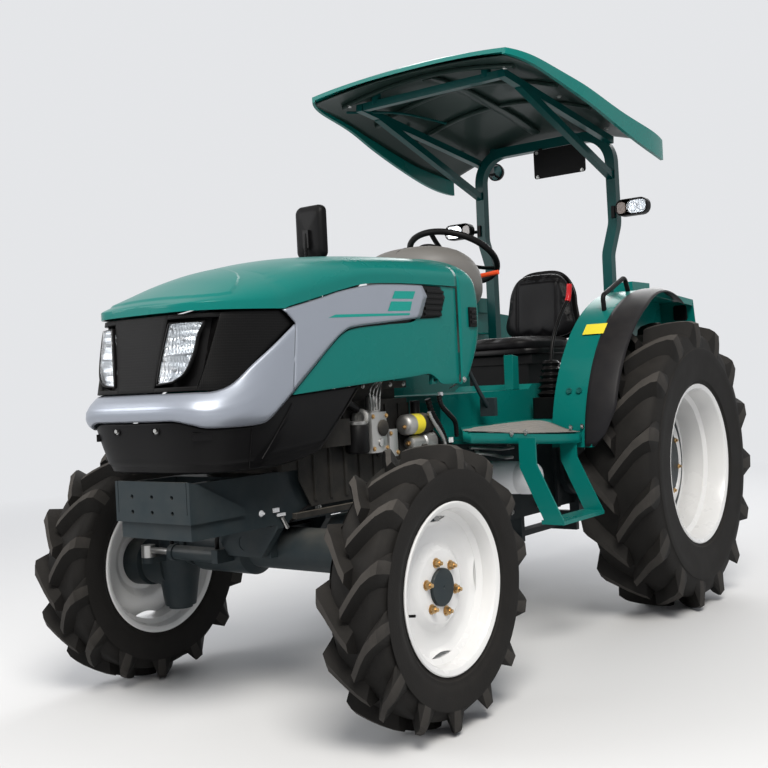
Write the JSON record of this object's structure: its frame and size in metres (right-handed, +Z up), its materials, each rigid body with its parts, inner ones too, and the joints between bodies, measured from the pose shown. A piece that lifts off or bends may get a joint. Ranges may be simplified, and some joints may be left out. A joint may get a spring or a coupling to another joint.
{
  "type": "compact tractor",
  "caption": "Compact four-wheel-drive tractor with roll bar and sun canopy, steering front wheels, a lifting bonnet and a rear three-point hitch.",
  "frame": {"origin": "bottom centre of the box of the whole tractor, on the ground", "axes": "+X to the tractor's left, +Y rearwards, +Z up; the front faces -Y"},
  "size_m": [1.716, 3.6879, 2.5202],
  "materials": {
    "teal_paint": "gloss",
    "silver_paint": "satin metallic",
    "dark_paint": "semi-gloss",
    "white_paint": "gloss",
    "black_plastic": "matte",
    "grey_plastic": "matte",
    "rubber_tyre": "matte",
    "rubber_trim": "satin",
    "cast_parts": "painted casting",
    "bright_parts": "machined",
    "steel": "bare steel",
    "lamp_lens": "clear moulded lens",
    "seat_vinyl": "grained vinyl",
    "white_plastic": "gloss",
    "blue_green_paint": "gloss"
  },
  "bodies": {
    "chassis": {"canopy": "teal_paint", "cowl": "teal_paint", "dash": "grey_plastic", "drawbar": "dark_paint", "drive_shaft": "dark_paint", "engine": "cast_parts", "engine_side_parts": "bright_parts", "fender_trims": "rubber_trim", "floor_panels": "teal_paint", "front_axle": "dark_paint", "front_frame": "dark_paint", "gearbox": "dark_paint", "grab_handles": "black_plastic", "hydraulic_filter": "white_plastic", "lamps": "lamp_lens", "left_fender": "teal_paint", "levers": "black_plastic", "lower_cowling": "black_plastic", "mirror": "black_plastic", "pedals": "dark_paint", "rear_axle": "dark_paint", "right_fender": "teal_paint", "roll_bar": "blue_green_paint", "seat_back": "seat_vinyl", "seat_base": "black_plastic", "seat_cushion": "seat_vinyl", "steering_column": "black_plastic", "steps": "teal_paint", "tunnel_cover": "teal_paint", "weight_bracket": "dark_paint"},
    "hood": {"hood_top": "teal_paint", "grille": "black_plastic", "silver_band": "silver_paint", "hood_sides": "teal_paint", "headlights": "lamp_lens"},
    "steering_wheel": {"steering_wheel": "black_plastic"},
    "left_knuckle": {"left_knuckle": "dark_paint"},
    "right_knuckle": {"right_knuckle": "dark_paint"},
    "tie_rod": {"tie_rod": "dark_paint"},
    "steering_rod": {"steering_rod": "steel"},
    "lift_arms": {"lift_arms": "dark_paint"},
    "left_lift_rod": {"left_lift_rod": "steel"},
    "right_lift_rod": {"right_lift_rod": "steel"},
    "left_lower_link": {"left_lower_link": "dark_paint"},
    "right_lower_link": {"right_lower_link": "dark_paint"},
    "top_link": {"top_link": "dark_paint"},
    "front_left_wheel": {"front_left_tyre": "rubber_tyre", "front_left_rim": "white_paint"},
    "front_right_wheel": {"front_right_tyre": "rubber_tyre", "front_right_rim": "white_paint"},
    "rear_left_wheel": {"rear_left_tyre": "rubber_tyre", "rear_left_rim": "white_paint"},
    "rear_right_wheel": {"rear_right_tyre": "rubber_tyre", "rear_right_rim": "white_paint"}
  },
  "joints": [
    {"name": "rear_left_roll", "type": "hinge", "parent": "chassis", "child": "rear_left_wheel", "pos_m": [0.684, 0.895, 0.673], "axis": [1, 0, 0], "continuous": true},
    {"name": "rear_right_roll", "type": "hinge", "parent": "chassis", "child": "rear_right_wheel", "pos_m": [-0.684, 0.895, 0.673], "axis": [1, 0, 0], "continuous": true},
    {"name": "steer_left", "type": "hinge", "parent": "chassis", "child": "left_knuckle", "pos_m": [0.5, -1.155, 0.47], "axis": [0, 0, 1], "range_deg": [-38, 38]},
    {"name": "steer_right", "type": "hinge", "parent": "chassis", "child": "right_knuckle", "pos_m": [-0.5, -1.155, 0.47], "axis": [0, 0, 1], "range_deg": [-38, 38]},
    {"name": "front_left_roll", "type": "hinge", "parent": "left_knuckle", "child": "front_left_wheel", "pos_m": [0.69, -1.155, 0.46], "axis": [1, 0, 0], "continuous": true},
    {"name": "front_right_roll", "type": "hinge", "parent": "right_knuckle", "child": "front_right_wheel", "pos_m": [-0.69, -1.155, 0.46], "axis": [1, 0, 0], "continuous": true},
    {"name": "tie_rod_swing", "type": "hinge", "parent": "left_knuckle", "child": "tie_rod", "pos_m": [0.5, -1.005, 0.47], "axis": [0, 0, 1], "range_deg": [-38, 38]},
    {"name": "steering_rod_slide", "type": "slide", "parent": "chassis", "child": "steering_rod", "axis": [1, 0, 0], "range_m": [-0.094, 0.094]},
    {"name": "steering_wheel_turn", "type": "hinge", "parent": "chassis", "child": "steering_wheel", "pos_m": [0, 0.142, 1.68], "axis": [0, 0.5, 0.866], "range_deg": [-570, 570]},
    {"name": "hood_lid", "type": "hinge", "parent": "chassis", "child": "hood", "pos_m": [0, -0.299, 1.59], "axis": [-1, 0, 0], "range_deg": [0, 50]},
    {"name": "hitch_lift", "type": "hinge", "parent": "chassis", "child": "lift_arms", "pos_m": [0, 1.015, 0.96], "axis": [1, 0, 0], "range_deg": [-30, 35]},
    {"name": "left_link_swing", "type": "hinge", "parent": "chassis", "child": "left_lower_link", "pos_m": [0.232, 0.955, 0.47], "axis": [1, 0, 0], "range_deg": [-16.7, 19.4]},
    {"name": "left_rod_swing", "type": "hinge", "parent": "lift_arms", "child": "left_lift_rod", "pos_m": [0.24, 1.27, 0.96], "axis": [1, 0, 0], "range_deg": [-36.9, 31.7]},
    {"name": "right_link_swing", "type": "hinge", "parent": "chassis", "child": "right_lower_link", "pos_m": [-0.232, 0.955, 0.47], "axis": [1, 0, 0], "range_deg": [-16.7, 19.4]},
    {"name": "right_rod_swing", "type": "hinge", "parent": "lift_arms", "child": "right_lift_rod", "pos_m": [-0.24, 1.27, 0.96], "axis": [1, 0, 0], "range_deg": [-36.9, 31.7]},
    {"name": "top_link_swing", "type": "hinge", "parent": "chassis", "child": "top_link", "pos_m": [0, 1.149, 0.8], "axis": [1, 0, 0], "range_deg": [-15, 50]}
  ],
  "couplings": [
    {"joint": "steer_right", "follows": "steer_left", "ratio": 1},
    {"joint": "tie_rod_swing", "follows": "steer_left", "ratio": -1},
    {"joint": "steering_rod_slide", "follows": "steer_left", "m_per_rad": 0.13924},
    {"joint": "steering_wheel_turn", "follows": "steer_left", "ratio": 15},
    {"joint": "left_link_swing", "follows": "hitch_lift", "ratio": 0.5399},
    {"joint": "left_rod_swing", "follows": "hitch_lift", "ratio": -1.0399},
    {"joint": "right_link_swing", "follows": "hitch_lift", "ratio": 0.5399},
    {"joint": "right_rod_swing", "follows": "hitch_lift", "ratio": -1.0399}
  ]
}
